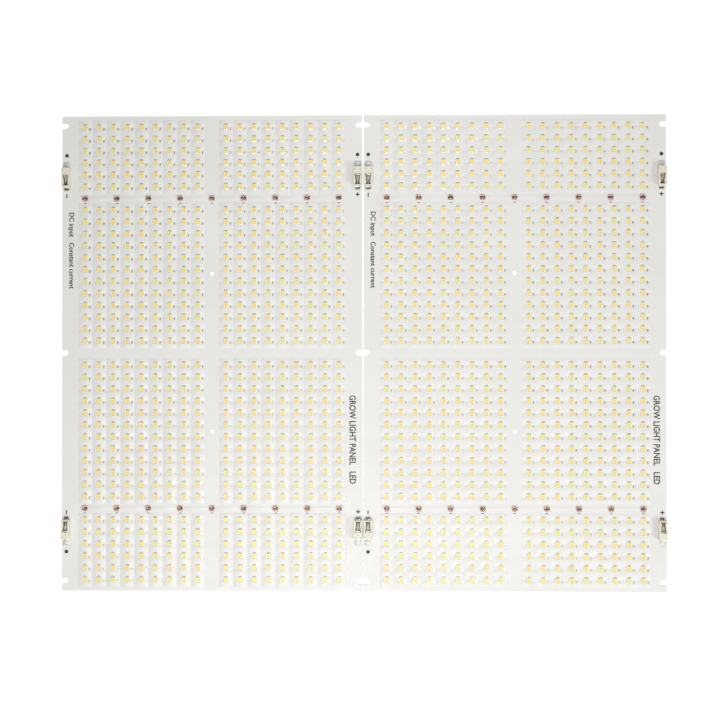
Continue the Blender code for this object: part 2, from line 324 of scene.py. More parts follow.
def side_amount(tree):
    """1 on faces that stand upright, 0 on faces that lie flat."""
    normal = add_node(tree, "ShaderNodeTexCoord").outputs["Normal"]
    split = add_node(tree, "ShaderNodeSeparateXYZ", {0: normal})
    upright = maths(tree, "ABSOLUTE", split.outputs["Z"])
    return remap(tree, upright, 0.3, 0.6, 1.0, 0.0)


def make_aluminium():
    """Rolled sheet: long fine grain on the flats, saw marks and a darker tone on the edges."""
    material, tree, shader = new_material("rolled_aluminium", metallic=1.0)
    point = object_point(tree)
    grain = noise(tree, stretched(tree, point, (2600.0, 45.0, 900.0)), 1.0, 4.0, 0.65)
    scuffs = noise(tree, stretched(tree, point, (30.0, 90.0, 60.0), 0.5), 1.0, 6.0, 0.7)
    clouds = noise(tree, point, 14.0, 3.0)
    saw = noise(tree, stretched(tree, point, (1500.0, 1500.0, 60.0)), 1.0, 2.0)
    edge = side_amount(tree)
    tone = remap(tree, clouds, 0.3, 0.7, 0.0, 1.0)
    flat_colour = mixed(tree, tone, (0.60, 0.61, 0.63), (0.72, 0.73, 0.74))
    flat_colour = mixed(
        tree, remap(tree, scuffs, 0.56, 0.72, 0.0, 0.45), flat_colour, (0.82, 0.82, 0.83)
    )
    edge_colour = mixed(tree, saw, (0.42, 0.43, 0.45), (0.66, 0.67, 0.69))
    height = mixed(tree, edge, grain, saw)
    wire(
        tree, shader,
        Base_Color=mixed(tree, edge, flat_colour, edge_colour),
        Roughness=remap(tree, maths(tree, "ADD", grain, scuffs), 0.6, 1.4, 0.28, 0.52),
        Normal=bumped(tree, height, 0.02 * MM, 0.35),
    )
    return material


def make_solder_mask():
    """White mask, satin with a faint orange peel; the cut edge shows the film under it."""
    material, tree, shader = new_material("white_solder_mask", ior=1.5)
    point = object_point(tree)
    peel = noise(tree, point, 900.0, 3.0, 0.55)
    clouds = noise(tree, point, 22.0, 3.0)
    specks = cells(tree, point, 260.0)
    tone = remap(tree, clouds, 0.3, 0.7, 0.0, 1.0)
    colour = mixed(tree, tone, (0.712, 0.707, 0.678), (0.742, 0.737, 0.708))
    colour = mixed(tree, remap(tree, specks, 0.02, 0.045, 0.22, 0.0), colour, (0.42, 0.38, 0.33))
    film = mixed(tree, noise(tree, point, 500.0), (0.46, 0.47, 0.40), (0.58, 0.57, 0.47))
    wire(
        tree, shader,
        Base_Color=mixed(tree, side_amount(tree), colour, film),
        Roughness=remap(tree, noise(tree, point, 120.0, 4.0), 0.3, 0.7, 0.34, 0.50),
        Normal=bumped(tree, peel, 0.006 * MM, 0.5),
    )
    return material


def make_ink():
    """Screen print: dark, thin, with a few pinholes that let the mask through."""
    material, tree, shader = new_material("dark_print", ior=1.45)
    point = object_point(tree)
    pinholes = cells(tree, point, 4200.0)
    body = noise(tree, point, 1500.0, 3.0)
    colour = mixed(tree, body, (0.016, 0.016, 0.018), (0.050, 0.048, 0.046))
    colour = mixed(tree, remap(tree, pinholes, 0.06, 0.12, 0.5, 0.0), colour, (0.5, 0.5, 0.48))
    wire(
        tree, shader,
        Base_Color=colour,
        Roughness=remap(tree, body, 0.3, 0.7, 0.42, 0.66),
        Normal=bumped(tree, body, 0.006 * MM, 0.6),
    )
    return material


def make_led_plastic():
    """White reflector plastic of the LED packages, slightly glossy and ivory."""
    material, tree, shader = new_material(
        "led_plastic", ior=1.55, subsurface_weight=0.15, subsurface_scale=0.2 * MM
    )
    point = object_point(tree)
    tone = noise(tree, point, 160.0, 2.0)
    grain = noise(tree, point, 5200.0, 3.0)
    wire(
        tree, shader,
        Base_Color=mixed(tree, tone, (0.84, 0.79, 0.63), (0.90, 0.86, 0.71)),
        Roughness=remap(tree, grain, 0.3, 0.7, 0.26, 0.42),
        Normal=bumped(tree, grain, 0.004 * MM, 0.5),
    )
    return material


def make_phosphor():
    """Phosphor in silicone: each lamp has its own tint, from peach to lemon."""
    material, tree, shader = new_material(
        "led_phosphor", ior=1.41, coat_weight=0.25, coat_roughness=0.12
    )
    point = object_point(tree)
    tint = add_node(tree, "ShaderNodeAttribute", attribute_name="tint").outputs["Fac"]
    middle = add_node(tree, "ShaderNodeAttribute", attribute_name="middle").outputs["Fac"]
    grain = noise(tree, point, 9000.0, 3.0, 0.6)
    base = mixed(tree, tint, (0.86, 0.58, 0.17), (0.73, 0.67, 0.155))
    rim = mixed(tree, tint, (0.94, 0.69, 0.28), (0.83, 0.77, 0.26))
    colour = mixed(tree, middle, rim, base)
    colour = mixed(tree, remap(tree, grain, 0.35, 0.65, 0.0, 0.16), colour, (0.92, 0.79, 0.38))
    wire(
        tree, shader,
        Base_Color=colour,
        Roughness=remap(tree, grain, 0.3, 0.7, 0.36, 0.52),
        Normal=bumped(tree, grain, 0.006 * MM, 0.5),
    )
    return material


def make_solder(name, dark, light, smooth, rough):
    """Reflowed tin, with fine dendrites and a trace of brown flux."""
    material, tree, shader = new_material(name, metallic=1.0)
    point = object_point(tree)
    dendrites = noise(tree, point, 3600.0, 5.0, 0.7)
    flux = noise(tree, point, 420.0, 3.0)
    colour = mixed(tree, dendrites, dark, light)
    colour = mixed(tree, remap(tree, flux, 0.54, 0.74, 0.0, 0.35), colour, (0.46, 0.38, 0.28))
    wire(
        tree, shader,
        Base_Color=colour,
        Roughness=remap(tree, dendrites, 0.3, 0.7, smooth, rough),
        Normal=bumped(tree, dendrites, 0.012 * MM, 0.5),
    )
    return material


def make_ceramic():
    """Alumina carrier of the red LEDs, with a sawn grain and darker red patches. Its pale pink is a
    painted highlight: left bare above and below the dark lead frame, it stands in for the dome's
    red-tinted highlights there.
    """
    material, tree, shader = new_material("ceramic_carrier_painted_highlight", ior=1.7)
    point = object_point(tree)
    grain = noise(tree, point, 3000.0, 4.0, 0.6)
    stain = noise(tree, point, 600.0, 2.0)
    colour = mixed(tree, grain, (0.62, 0.42, 0.35), (0.78, 0.58, 0.49))
    colour = mixed(tree, remap(tree, stain, 0.45, 0.7, 0.0, 0.4), colour, (0.46, 0.19, 0.13))
    wire(
        tree, shader,
        Base_Color=colour,
        Roughness=remap(tree, grain, 0.3, 0.7, 0.45, 0.65),
        Normal=bumped(tree, grain, 0.01 * MM, 0.5),
    )
    return material


def make_lens():
    """Clear silicone dome."""
    material, tree, shader = new_material(
        "clear_lens", ior=1.41, transmission_weight=1.0, coat_weight=0.4, coat_roughness=0.03
    )
    point = object_point(tree)
    ripple = noise(tree, point, 700.0, 2.0)
    wire(
        tree, shader,
        Base_Color=mixed(tree, ripple, (0.98, 0.89, 0.84), (1.0, 0.94, 0.90)),
        Roughness=remap(tree, ripple, 0.3, 0.7, 0.01, 0.05),
    )
    return material


def make_red_die():
    """The red chip: near-black red with paler electrode fingers."""
    material, tree, shader = new_material("red_die", ior=1.8, coat_weight=0.5, coat_roughness=0.1)
    point = object_point(tree)
    fingers = noise(tree, stretched(tree, point, (2600.0, 300.0, 300.0)), 1.0, 1.0)
    wire(
        tree, shader,
        Base_Color=mixed(
            tree, remap(tree, fingers, 0.5, 0.62, 0.0, 0.4), (0.06, 0.018, 0.016), (0.22, 0.08, 0.07)
        ),
        Roughness=remap(tree, fingers, 0.3, 0.7, 0.25, 0.4),
    )
    return material


def make_housing_plastic():
    """Cream moulded plastic with flow marks, a spark-eroded texture and a few dark specks."""
    material, tree, shader = new_material(
        "terminal_plastic", ior=1.53, subsurface_weight=0.5, subsurface_scale=1.1 * MM
    )
    shader.inputs["Subsurface Radius"].default_value = (1.0, 0.85, 0.65)
    point = object_point(tree)
    texture = noise(tree, point, 6500.0, 2.0)
    flow = noise(tree, stretched(tree, point, (300.0, 90.0, 300.0)), 1.0, 3.0)
    specks = cells(tree, point, 1300.0)
    colour = mixed(tree, flow, (0.72, 0.68, 0.57), (0.79, 0.75, 0.65))
    colour = mixed(tree, remap(tree, specks, 0.05, 0.09, 0.3, 0.0), colour, (0.36, 0.31, 0.24))
    wire(
        tree, shader,
        Base_Color=colour,
        Roughness=remap(tree, texture, 0.3, 0.7, 0.38, 0.54),
        Normal=bumped(tree, texture, 0.01 * MM, 0.4),
    )
    return material


def make_strip(name, dark, light, tarnish):
    """Stamped strip: fine rolling lines along it and patches of tarnish."""
    material, tree, shader = new_material(name, metallic=1.0)
    point = object_point(tree)
    rolling = noise(tree, stretched(tree, point, (5200.0, 260.0, 5200.0)), 1.0, 3.0)
    patches = noise(tree, point, 700.0, 3.0)
    colour = mixed(tree, rolling, dark, light)
    colour = mixed(tree, remap(tree, patches, 0.48, 0.7, 0.0, 0.6), colour, tarnish)
    wire(
        tree, shader,
        Base_Color=colour,
        Roughness=remap(tree, patches, 0.3, 0.7, 0.26, 0.46),
        Normal=bumped(tree, rolling, 0.008 * MM, 0.35),
    )
    return material


def make_floor_material():
    material, tree, shader = new_material("studio_floor", roughness=0.7)
    shader.inputs["Emission Color"].default_value = (1.0, 1.0, 1.0, 1.0)
    shader.inputs["Emission Strength"].default_value = FLOOR_GLOW
    shader.inputs["Specular IOR Level"].default_value = 0.1
    tone = noise(tree, object_point(tree), 3.0, 2.0)
    wire(tree, shader, Base_Color=mixed(tree, tone, (0.93, 0.93, 0.93), (0.95, 0.95, 0.95)))
    return material


# Meshes


def ring(half_x, half_y, power, height, steps=RING_STEPS):
    """A closed outline between an ellipse (power 2) and a rectangle (a high power)."""
    points = []
    for step in range(steps):
        angle = 2 * math.pi * step / steps
        x, y = math.cos(angle), math.sin(angle)
        points.append(Vector((
            half_x * math.copysign(abs(x) ** (2 / power), x),
            half_y * math.copysign(abs(y) ** (2 / power), y),
            height,
        )))
    return points


def loft(bm, rings, material=0, closed=True):
    """A skin through rings of points. A ring may be one point, where the skin closes."""
    made = []
    for points in rings:
        made.append([bm.verts.new(point) for point in points])
    faces = []
    for low, high in zip(made, made[1:]):
        for index in range(len(max(low, high, key=len))):
            following = (index + 1) % len(max(low, high, key=len))
            if len(high) == 1:
                corners = (low[index], low[following], high[0])
            elif len(low) == 1:
                corners = (low[0], high[following], high[index])
            else:
                corners = (low[index], low[following], high[following], high[index])
            faces.append(bm.faces.new(corners))
    if closed:
        for end in (made[0][::-1], made[-1]):
            if len(end) > 1:
                faces.append(bm.faces.new(end))
    for face in faces:
        face.material_index = material


def block(bm, low, high, material=0, edge=0.0):
    """A box whose top edges slope in by edge."""
    corners = ((low[0], low[1]), (high[0], low[1]), (high[0], high[1]), (low[0], high[1]))
    inner = (
        (low[0] + edge, low[1] + edge), (high[0] - edge, low[1] + edge),
        (high[0] - edge, high[1] - edge), (low[0] + edge, high[1] - edge),
    )
    loft(bm, [
        [Vector((x, y, low[2])) for x, y in corners],
        [Vector((x, y, high[2])) for x, y in inner],
    ], material)


def prism(bm, outline, low, high, material=0):
    """A closed solid from a flat outline, between two heights."""
    loft(bm, [[Vector((*point, height)) for point in outline] for height in (low, high)], material)


def to_mesh(bm, name, angle=SHARP_ANGLE):
    bmesh.ops.recalc_face_normals(bm, faces=bm.faces)
    mesh = bpy.data.meshes.new(name)
    bm.to_mesh(mesh)
    bm.free()
    mesh.shade_smooth()
    mesh.set_sharp_from_angle(angle=math.radians(angle))
    return mesh


def read(collection, field, width=1, kind=float):
    values = np.empty(len(collection) * width, kind)
    collection.foreach_get(field, values)
    return values.reshape(-1, width) if width > 1 else values


def repeated(name, template, places, angle=SHARP_ANGLE):
    """A mesh with one copy of the template at each place, a 4 x 4 matrix."""
    points = read(template.vertices, "co", 3)
    corners = read(template.loops, "vertex_index", kind=np.int32)
    starts = read(template.polygons, "loop_start", kind=np.int32)
    slots = read(template.polygons, "material_index", kind=np.int32)
    count = len(places)
    moved = []
    for place in places:
        moved.append(points @ np.array(place.to_3x3()).T + np.array(place.translation))
    mesh = bpy.data.meshes.new(name)
    mesh.vertices.add(len(points) * count)
    mesh.loops.add(len(corners) * count)
    mesh.polygons.add(len(starts) * count)
    copies = np.arange(count, dtype=np.int32)[:, None]
    mesh.vertices.foreach_set("co", np.concatenate(moved).ravel())
    mesh.loops.foreach_set("vertex_index", (corners + copies * len(points)).ravel())
    mesh.polygons.foreach_set("loop_start", (starts + copies * len(corners)).ravel())
    mesh.polygons.foreach_set("material_index", np.tile(slots, count))
    mesh.update(calc_edges=True)
    mesh.shade_smooth()
    mesh.set_sharp_from_angle(angle=math.radians(angle))
    return mesh


def set_attribute(mesh, name, values):
    attribute = mesh.attributes.new(name, "FLOAT", "POINT")
    attribute.data.foreach_set("value", np.asarray(values, np.float32))


def show(name, mesh, materials, body, replaced=(), place=None):
    """Adds a piece that rides on a body and stands for the replaced CAD nodes."""
    obj = bpy.data.objects.new(name, mesh)
    bpy.context.scene.collection.objects.link(obj)
    if place is not None:
        obj.matrix_world = place
    if not mesh.materials:
        for material in materials:
            mesh.materials.append(material)
    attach(obj, body)
    if replaced:
        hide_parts(*replaced)


# Where things are


def board_place(board):
    """The board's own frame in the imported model's frame."""
    low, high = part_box(f"{board}_core")
    skew = math.atan2(GAP_AT_TOP - GAP_AT_BOTTOM, BOARD_LENGTH)
    centre = Vector(((low.x + high.x) / 2, (low.y + high.y) / 2, 0))
    return Matrix.Translation(centre) @ Matrix.Rotation(-skew if board == "right" else 0.0, 4, "Z")


def band_tops():
    """The height of the first row of each band of white rows, and of each red row."""
    gaps = (RED_LINE_GAP, MIDDLE_GAP, RED_LINE_GAP)
    spans = [(rows - 1) * ROW_PITCH for rows in BAND_ROWS]
    top = (sum(spans) + sum(gaps)) / 2
    tops, reds = [], []
    for index, span in enumerate(spans):
        tops.append(top)
        bottom = top - span
        if index < len(gaps):
            top = bottom - gaps[index]
            if gaps[index] == RED_LINE_GAP:
                reds.append((bottom + top) / 2)
    return tops, reds


def block_start(half):
    """x of the first column of the left (0) or right (1) block."""
    span = (COLUMNS_PER_BLOCK - 1) * COLUMN_PITCH
    return BLOCK_GAP / 2 if half else -BLOCK_GAP / 2 - span


def column_places(half):
    return [block_start(half) + index * COLUMN_PITCH for index in range(COLUMNS_PER_BLOCK)]


def red_places():
    reach = -block_start(0)
    return [-reach + 2 * reach * index / (RED_COUNT - 1) for index in range(RED_COUNT)]


def row_places(band):
    tops, _ = band_tops()
    return [tops[band] - row * ROW_PITCH for row in range(BAND_ROWS[band])]


def terminals(board):
    """Name and own frame of each wire terminal of a board."""
    for pole, side in (("minus", -1), ("plus", 1)):
        for end, direction in (("upper", 1), ("lower", -1)):
            x = side * (BOARD_WIDTH / 2 - TERMINAL_FROM_EDGE)
            place = Matrix.Translation((x, direction * TERMINAL_FROM_MIDDLE, SOLDERED_BASE))
            turn = Matrix.Rotation(0.0 if direction > 0 else math.pi, 4, "Z")
            yield f"{board}_{end}_{pole}", board_place(board) @ place @ turn


# White LEDs


def in_millimetres(profile):
    """Rings from (half width, height, corner power) rows given in millimetres."""
    return [ring(half * MM, half * MM, power, height * MM) for half, height, power in profile]


def add_fillets(bm, profile, half, material):
    """Solder along both ends of a package, from a profile of (y, z) in millimetres."""
    for end in (-1, 1):
        loft(bm, [
            [Vector((x * MM, end * y * MM, z * MM)) for y, z in profile] for x in (-half, half)
        ], material)


def white_led():
    """One package: a reflector body with a cut corner, the phosphor in its well, and the
    solder at its two ends. Slots: plastic, phosphor, solder."""
    bm = bmesh.new()
    body = in_millimetres(LED_BODY)
    for points in body:
        corner = points[RING_STEPS // 8]
        corner.x *= LED_CORNER_CUT
        corner.y *= LED_CORNER_CUT
    loft(bm, body + in_millimetres(LED_WELL), 0)
    silicone = in_millimetres(LED_SILICONE)
    loft(bm, [*silicone, [Vector((0, 0, LED_SILICONE_LOW * MM))]], 1, closed=False)
    add_fillets(bm, LED_FILLET, LED_FILLET_HALF, 2)
    return to_mesh(bm, "white_led")


def led_middle(template):
    """How near each point is to the middle of its lamp, for the phosphor's deeper core."""
    points = read(template.vertices, "co", 3)
    from_middle = np.hypot(points[:, 0], points[:, 1]) / MM
    return np.clip((PHOSPHOR_CORE_REACH - from_middle) / PHOSPHOR_CORE_BLEND, 0.0, 1.0)


def led_spot(x, y):
    """Where a package sits: at its place, but a little shifted and turned."""
    shift = Vector((random.gauss(0, LED_SHIFT_SPREAD), random.gauss(0, LED_SHIFT_SPREAD), 0)) * MM
    turn = Matrix.Rotation(math.radians(random.gauss(0, LED_TURN_SPREAD)), 4, "Z")
    return Matrix.Translation(Vector((x, y, SOLDERED_BASE)) + shift) @ turn


def add_whites(board, materials):
    template = white_led()
    middle = led_middle(template)
    for band in range(len(BAND_ROWS)):
        for half, letter in enumerate("ab"):
            places, tints = [], []
            for row, y in enumerate(row_places(band)):
                usual_tint = WARM_TINT if row % 4 in (0, 3) else COOL_TINT
                for x in column_places(half):
                    places.append(board_place(board) @ led_spot(x, y))
                    tints.append(min(1.0, max(0.0, random.gauss(usual_tint, TINT_SPREAD))))
            name = f"{board}_whites_{band + 1}{letter}"
            mesh = repeated(f"{name}_packages", template, places)
            set_attribute(mesh, "tint", np.repeat(tints, len(template.vertices)))
            set_attribute(mesh, "middle", np.tile(middle, len(places)))
            show(
                f"{name}_packages", mesh,
                [materials["plastic"], materials["phosphor"], materials["solder"]],
                f"{board}_board", [name],
            )


# Red LEDs


def red_led():
    """One package: ceramic carrier, dark lead frame, chip, clear dome and solder. The frame's bow-tie
    outline leaves the pale pink ceramic bare above and below the middle, a painted highlight under the
    dome. Slots: ceramic, solder, die, lens, lead frame."""
    bm = bmesh.new()
    loft(bm, in_millimetres(RED_BODY), 0)
    frame_outline = [Vector((x, y)) * MM for x, y in RED_FRAME]
    frame_outline += [Vector((x, -y)) * MM for x, y in reversed(RED_FRAME)]
    prism(bm, frame_outline, RED_BODY[-1][1] * MM, RED_FRAME_TOP * MM, 4)
    die = Vector((RED_DIE_HALF, RED_DIE_HALF, 0.0)) * MM
    low, high = Vector((0, 0, RED_FRAME_TOP)) * MM, Vector((0, 0, RED_DIE_TOP)) * MM
    block(bm, low - die, high + die, 2, RED_DIE_EDGE * MM)
    dome = in_millimetres(RED_FLANGE)
    for step in range(1, RED_DOME_STEPS):
        angle = math.pi / 2 * step / RED_DOME_STEPS
        across = RED_DOME_RADIUS * math.cos(angle) * MM
        height = RED_DOME_BASE + (RED_DOME_TOP - RED_DOME_BASE) * math.sin(angle)
        dome.append(ring(across, across, 2, height * MM))
    loft(bm, [*dome, [Vector((0, 0, RED_DOME_TOP * MM))]], 3)
    add_fillets(bm, RED_FILLET, RED_FILLET_HALF, 1)
    return to_mesh(bm, "red_led", WIDE_SHARP_ANGLE)


def add_reds(board, materials):
    template = red_led()
    _, heights = band_tops()
    for row, y in zip(("upper", "lower"), heights):
        places = []
        for x in red_places():
            turn = Matrix.Rotation(math.radians(random.gauss(0, RED_TURN_SPREAD)), 4, "Z")
            places.append(board_place(board) @ Matrix.Translation((x, y, SOLDERED_BASE)) @ turn)
        name = f"{board}_reds_{row}"
        mesh = repeated(f"{name}_packages", template, places, WIDE_SHARP_ANGLE)
        show(
            f"{name}_packages", mesh,
            [materials[key] for key in ("ceramic", "solder", "die", "lens", "red_frame")],
            f"{board}_board", [name],
        )


# Copper under the mask


def add_copper(board, materials):
    """The copper areas stand up a little under the mask, with narrow gaps between them.
    They run from lamp to lamp: down each white column and along each red row."""
    bm = bmesh.new()
    low_z, high_z = CIRCUIT_TOP - COPPER_SINK, CIRCUIT_TOP + COPPER_RISE
    half_gap = COPPER_GAP / 2

    def area(x0, x1, y0, y1):
        block(
            bm, (x0 + half_gap, y0 + half_gap, low_z), (x1 - half_gap, y1 - half_gap, high_z),
            0, COPPER_EDGE,
        )

    half_column = COLUMN_PITCH / 2
    for band in range(len(BAND_ROWS)):
        rows = row_places(band)
        edges = [rows[0] + COPPER_PAST_ROWS, *rows, rows[-1] - COPPER_PAST_ROWS]
        for half in (0, 1):
            for x in column_places(half):
                for high, low in zip(edges, edges[1:]):
                    area(x - half_column, x + half_column, low, high)
    _, heights = band_tops()
    reds = red_places()
    ends = [reds[0] - RED_RUN_OVERHANG, *reds, reds[-1] + RED_RUN_OVERHANG]
    for y in heights:
        for first, second in zip(ends, ends[1:]):
            area(first, second, y - RED_RUN_HALF_WIDTH, y + RED_RUN_HALF_WIDTH)
    mesh = to_mesh(bm, f"{board}_copper_relief")
    mesh.transform(board_place(board))
    show(f"{board}_copper_relief", mesh, [materials["mask"]], f"{board}_board")


# Print


def oval(bm, centre, half_x, half_y, lift=0.0, steps=DOT_STEPS):
    outline = [
        (centre[0] + point.x, centre[1] + point.y) for point in ring(half_x, half_y, 2, 0, steps)
    ]
    prism(bm, outline, CIRCUIT_TOP + INK_LOW, CIRCUIT_TOP + INK_HIGH + lift)


def bar(bm, centre, size, lift=0.0):
    half = size / 2
    block(
        bm,
        (centre[0] - half.x, centre[1] - half.y, CIRCUIT_TOP + INK_LOW),
        (centre[0] + half.x, centre[1] + half.y, CIRCUIT_TOP + INK_HIGH + lift),
    )


def lettering(text, centre, length):
    """A line of letters that reads down the board, fitted to a length."""
    curve = bpy.data.curves.new("lettering", "FONT")
    curve.body = text
    curve.extrude = (INK_HIGH - INK_LOW) / 2
    curve.offset = LETTER_BOLDNESS
    curve.resolution_u = LETTER_STEPS
    carrier = bpy.data.objects.new("lettering", curve)
    bpy.context.scene.collection.objects.link(carrier)
    bpy.context.view_layer.update()
    flat = carrier.evaluated_get(bpy.context.evaluated_depsgraph_get())
    mesh = bpy.data.meshes.new_from_object(flat)
    bpy.data.objects.remove(carrier)
    bpy.data.curves.remove(curve)
    points = read(mesh.vertices, "co", 3)
    low, high = points.min(0), points.max(0)
    across = length / (high[0] - low[0])
    up = LETTER_HEIGHT / (high[1] - low[1])
    middle = (low + high) / 2
    mesh.transform(Matrix.Translation((-middle[0], -middle[1], 0)))
    mesh.transform(Matrix.Diagonal((across, up, 1, 1)))
    mesh.transform(Matrix.Rotation(-math.pi / 2, 4, "Z"))
    mesh.transform(Matrix.Translation((centre.x, centre.y, CIRCUIT_TOP + (INK_LOW + INK_HIGH) / 2)))
    return mesh


def terminal_marks(bm):
    """A minus or plus sign near each terminal, and a dot past all but the lower plus one."""
    edge = BOARD_WIDTH / 2 - TERMINAL_FROM_EDGE
    upright = Vector((SIGN_STROKE, SIGN_LENGTH))
    arm = (SIGN_LENGTH - SIGN_STROKE) / 2
    for direction in (-1, 1):
        height = direction * SIGN_FROM_MIDDLE
        bar(bm, (-edge, height + MINUS_SHIFT), upright)
        bar(bm, (edge, height), upright)
        for side in (-1, 1):
            offset = side * (SIGN_STROKE + arm) / 2
            bar(bm, (edge + offset, height), Vector((arm, SIGN_STROKE)))
    for side, direction in ((-1, -1), (-1, 1), (1, 1)):
        dot = (side * edge, direction * END_DOT_FROM_MIDDLE)
        oval(bm, dot, END_DOT_RADIUS, END_DOT_RADIUS)


def add_print(board, materials):
    """Polarity marks by every LED, the signs and dots by the terminals, and two lines."""
    bm = bmesh.new()
    for band in range(len(BAND_ROWS)):
        for y in row_places(band):
            for x in column_places(0) + column_places(1):
                bar(bm, (x, y + BAR_FROM_LED), BAR_SIZE, COPPER_RISE)
    _, heights = band_tops()
    for y in heights:
        for x in red_places():
            bar(bm, (x, y - RED_BAR_FROM_LED), RED_BAR_SIZE, COPPER_RISE)
    terminal_marks(bm)
    for text, centre, length in (
        (LEFT_LINE, LEFT_LINE_PLACE, LEFT_LINE_LENGTH),
        (RIGHT_LINE, RIGHT_LINE_PLACE, RIGHT_LINE_LENGTH),
    ):
        bm.from_mesh(lettering(text, centre, length))
    mesh = to_mesh(bm, f"{board}_print")
    mesh.transform(board_place(board))
    show(f"{board}_print", mesh, [materials["ink"]], f"{board}_board")


def add_test_pads(board, materials):
    """A small bare tinned pad beside every white LED."""
    bm = bmesh.new()
    for band in range(len(BAND_ROWS)):
        for y in row_places(band):
            for x in column_places(0) + column_places(1):
                centre = Vector((x, y)) + TEST_PAD_FROM_LED
                oval(bm, centre, *TEST_PAD_HALF, COPPER_RISE, PAD_STEPS)
    mesh = to_mesh(bm, f"{board}_test_pads")
    mesh.transform(board_place(board))
    show(f"{board}_test_pads", mesh, [materials["pad"]], f"{board}_board")


# Wire terminals


def combine(obj, bm, operation):
    """Joins a closed bmesh to an object's mesh, or takes it out."""
    other = bpy.data.objects.new("other", to_mesh(bm, "other"))
    bpy.context.scene.collection.objects.link(other)
    modifier = obj.modifiers.new("combine", "BOOLEAN")
    modifier.operation = operation
    modifier.object = other
    bake_modifiers(obj)
    bpy.data.objects.remove(other)


def cut(obj, bm):
    combine(obj, bm, "DIFFERENCE")


def bake_modifiers(obj):
    bpy.context.view_layer.update()
    done = bpy.data.meshes.new_from_object(
        obj.evaluated_get(bpy.context.evaluated_depsgraph_get())
    )
    obj.modifiers.clear()
    obj.data = done


def barrel(radii_and_places, height):
    """A closed round solid along Y from (radius, y) pairs, on the wire's axis."""
    bm = bmesh.new()
    rings = []
    for radius, y in radii_and_places:
        rings.append([
            Vector((point.x, y, height + point.y))
            for point in ring(radius, radius, 2, 0, FINE_STEPS)
        ])
    loft(bm, rings)
    return bm


def box_mesh(low, high):
    bm = bmesh.new()
    block(bm, Vector(low), Vector(high))
    return bm


def housing_mesh():
    """The moulded housing: window, strip channel, funnel mouth, and moulding marks."""
    width, length, height = HOUSING_SIZE
    bm = box_mesh((-width / 2, -length / 2, 0), (width / 2, length / 2, height))
    obj = bpy.data.objects.new("housing", to_mesh(bm, "housing"))
    bpy.context.scene.collection.objects.link(obj)
    above = height + CUTTER_REACH
    cut(obj, box_mesh(
        (-WINDOW_WIDTH / 2, WINDOW_INNER_END, WINDOW_FLOOR),
        (WINDOW_WIDTH / 2, WINDOW_ENTRY_END, above),
    ))
    cut(obj, box_mesh(
        (-CHANNEL_WIDTH / 2, -length, -CUTTER_REACH),
        (CHANNEL_WIDTH / 2, length, STRIP_SLOT_HEIGHT),
    ))
    slope = (WIRE_MOUTH_RADIUS - WIRE_BORE_RADIUS) / WIRE_MOUTH_DEPTH
    cut(obj, barrel(
        (
            (WIRE_BORE_RADIUS, WINDOW_ENTRY_END - CUTTER_REACH),
            (WIRE_BORE_RADIUS, length / 2 - WIRE_MOUTH_DEPTH),
            (WIRE_MOUTH_RADIUS + slope * CUTTER_REACH, length / 2 + CUTTER_REACH),
        ),
        WIRE_HEIGHT,
    ))
    for side in (-1, 1):
        pit = bmesh.new()
        outline = [
            (side * PIT_PLACE.x + point.x, PIT_PLACE.y + point.y)
            for point in ring(PIT_RADIUS, PIT_RADIUS, 2, 0, PIT_STEPS)
        ]
        prism(pit, outline, height - PIT_DEPTH, above)
        cut(obj, pit)
        wall = side * width / 2
        cut(obj, box_mesh(
            (wall - SIDE_GROOVE_DEPTH, *SIDE_GROOVE_LOW), (wall + SIDE_GROOVE_DEPTH, *SIDE_GROOVE_HIGH)
        ))
    cut(obj, box_mesh((*TEST_SLOT_LOW, height - TEST_SLOT_DEPTH), (*TEST_SLOT_HIGH, above)))
    for side in (-1, 1):
        rib = bmesh.new()
        outline = [(side * x * MM, y * MM) for x, y in STOP_RIB]
        prism(rib, outline, WINDOW_FLOOR - STOP_RIB_SINK, STOP_RIB_TOP)
        combine(obj, rib, "UNION")
    bevel = obj.modifiers.new("round", "BEVEL")
    bevel.width = EDGE_ROUNDING
    bevel.segments = 2
    bevel.limit_method = "ANGLE"
    bevel.angle_limit = math.radians(ROUNDED_EDGE_ANGLE)
    bake_modifiers(obj)
    mesh = obj.data
    bpy.data.objects.remove(obj)
    mesh.shade_smooth()
    mesh.set_sharp_from_angle(angle=math.radians(HOUSING_SHARP_ANGLE))
    return mesh


def plate(bm, start, end, material):
    """A flat stretch of the contact strip with rounded corners and softened edges."""
    centre, reach = Vector((0, (start + end) / 2, 0)), abs(end - start) / 2
    rings = []
    for inset, height in PLATE_PROFILE:
        outline = ring(
            STRIP_WIDTH / 2 - inset, reach - inset, PLATE_CORNER_POWER, height, FINE_STEPS
        )
        rings.append([point + centre for point in outline])
    loft(bm, rings, material)


def arch(bm):
    """The arch over the wire: sheet bent to an upside-down U with rounded shoulders."""
    halves = []
    for inner, bend in ((0.0, ARCH_ROUNDING), (SHEET, ARCH_INNER_ROUNDING)):
        x, top = ARCH_WIDTH / 2 - inner, ARCH_HEIGHT - inner
        side = [(x, ARCH_FOOT)]
        for step in range(ARCH_BEND_STEPS + 1):
            angle = math.pi / 2 * step / ARCH_BEND_STEPS
            side.append((x - bend + bend * math.cos(angle), top - bend + bend * math.sin(angle)))
        halves.append(side + [(-px, pz) for px, pz in reversed(side)])
    outline = halves[0] + halves[1][::-1]
    loft(bm, [
        [Vector((x, y, z)) for x, z in outline] for y in (ARCH_INNER_FACE, ARCH_ENTRY_FACE)
    ])


